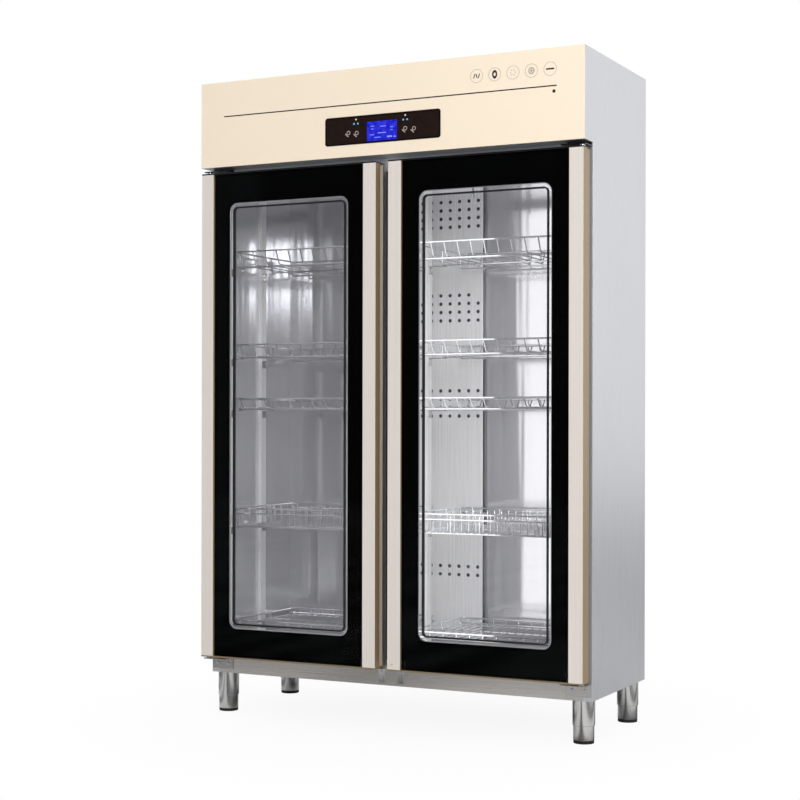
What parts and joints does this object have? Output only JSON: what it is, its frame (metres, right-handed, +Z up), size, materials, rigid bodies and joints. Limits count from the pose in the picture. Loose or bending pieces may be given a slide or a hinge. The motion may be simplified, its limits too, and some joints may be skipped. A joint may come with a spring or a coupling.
{
  "type": "dish sterilizer cabinet",
  "caption": "Tall two-door stainless cabinet that sterilizes crockery with hot air: glazed doors, wire baskets, perforated air duct, fan and levelling feet.",
  "frame": {"origin": "middle of the bounding box, on the floor under the levelling feet", "axes": "+Z up; -Y out of the doors, so +Y is the back; +X to the right as seen from the front"},
  "size_m": [1.2, 0.51, 1.86],
  "materials": {
    "case_steel": "brushed, vertical grain",
    "liner_steel": "bright mill finish",
    "galvanised_steel": "dull zinc coat",
    "fascia_paint": "satin cream",
    "champagne_aluminium": "satin anodised",
    "clear_glass": "polished",
    "black_enamel": "gloss black behind glass",
    "dark_rubber": "matte",
    "dark_lens": "gloss",
    "blue_display": "lit liquid-crystal display",
    "circuit_board": "solder mask",
    "bright_wire": "electropolished",
    "mineral_wool": "fibrous board",
    "black_paint": "satin black",
    "bright_steel": "polished",
    "grey_paint": "satin grey",
    "wheel_aluminium": "pressed sheet",
    "heater_steel": "heat-browned",
    "black_nylon": "moulded"
  },
  "bodies": {
    "root": {"side_panel_left": "case_steel", "side_panel_right": "case_steel", "top_cover": "case_steel", "back_cover": "galvanised_steel", "base_plate": "galvanised_steel", "front_top_rail": "case_steel", "front_bottom_rail": "case_steel", "centre_mullion": "case_steel", "mullion_seal": "dark_rubber", "insulation_boards": "mineral_wool", "liner_left": "liner_steel", "liner_right": "liner_steel", "liner_back": "liner_steel", "liner_ceiling": "liner_steel", "liner_floor": "liner_steel", "compartment_deck": "galvanised_steel", "fascia_face": "fascia_paint", "fascia_box": "case_steel", "control_lens": "dark_lens", "display_module": "blue_display", "control_board": "circuit_board", "power_unit": "grey_paint", "cord_gland": "black_nylon", "hinge_brackets": "bright_wire", "hinge_pins": "bright_steel", "door_catches": "bright_steel", "leg_tubes": "bright_steel", "shelf_uprights": "bright_steel", "shelf_clips": "bright_steel", "bowl_baskets_1": "bright_wire", "bowl_baskets_2": "bright_wire", "bowl_baskets_3": "bright_wire", "plate_racks": "bright_wire", "tray_racks": "bright_wire", "duct_cover": "liner_steel", "heater_elements": "heater_steel", "fan_housing": "galvanised_steel", "fan_motor": "grey_paint", "temperature_probe": "bright_steel"},
    "left_door": {"left_door_hinge_stile": "champagne_aluminium", "left_door_grip_stile": "champagne_aluminium", "left_door_end_caps": "champagne_aluminium", "left_door_glass": "clear_glass", "left_door_border": "black_enamel", "left_door_inner_plate": "liner_steel", "left_door_inner_glass": "clear_glass", "left_door_seals": "dark_rubber"},
    "right_door": {"right_door_hinge_stile": "champagne_aluminium", "right_door_grip_stile": "champagne_aluminium", "right_door_end_caps": "champagne_aluminium", "right_door_glass": "clear_glass", "right_door_border": "black_enamel", "right_door_inner_plate": "liner_steel", "right_door_inner_glass": "clear_glass", "right_door_seals": "dark_rubber"},
    "impeller": {"impeller": "wheel_aluminium"},
    "foot_front_left": {"foot_front_left": "bright_steel"},
    "foot_front_right": {"foot_front_right": "bright_steel"},
    "foot_back_left": {"foot_back_left": "bright_steel"},
    "foot_back_right": {"foot_back_right": "bright_steel"}
  },
  "joints": [
    {"name": "left_door_hinge", "type": "hinge", "parent": "root", "child": "left_door", "pos_m": [-0.585, -0.23, 0.882], "axis": [0, 0, -1], "range_deg": [0, 110]},
    {"name": "right_door_hinge", "type": "hinge", "parent": "root", "child": "right_door", "pos_m": [0.585, -0.23, 0.882], "axis": [0, 0, 1], "range_deg": [0, 110]},
    {"name": "fan_spin", "type": "hinge", "parent": "root", "child": "impeller", "pos_m": [0, 0.07, 1.63], "axis": [0, 0, 1], "continuous": true},
    {"name": "foot_front_left_level", "type": "slide", "parent": "root", "child": "foot_front_left", "axis": [0, 0, 1], "range_m": [-0.02, 0.02]},
    {"name": "foot_front_right_level", "type": "slide", "parent": "root", "child": "foot_front_right", "axis": [0, 0, 1], "range_m": [-0.02, 0.02]},
    {"name": "foot_back_left_level", "type": "slide", "parent": "root", "child": "foot_back_left", "axis": [0, 0, 1], "range_m": [-0.02, 0.02]},
    {"name": "foot_back_right_level", "type": "slide", "parent": "root", "child": "foot_back_right", "axis": [0, 0, 1], "range_m": [-0.02, 0.02]}
  ]
}
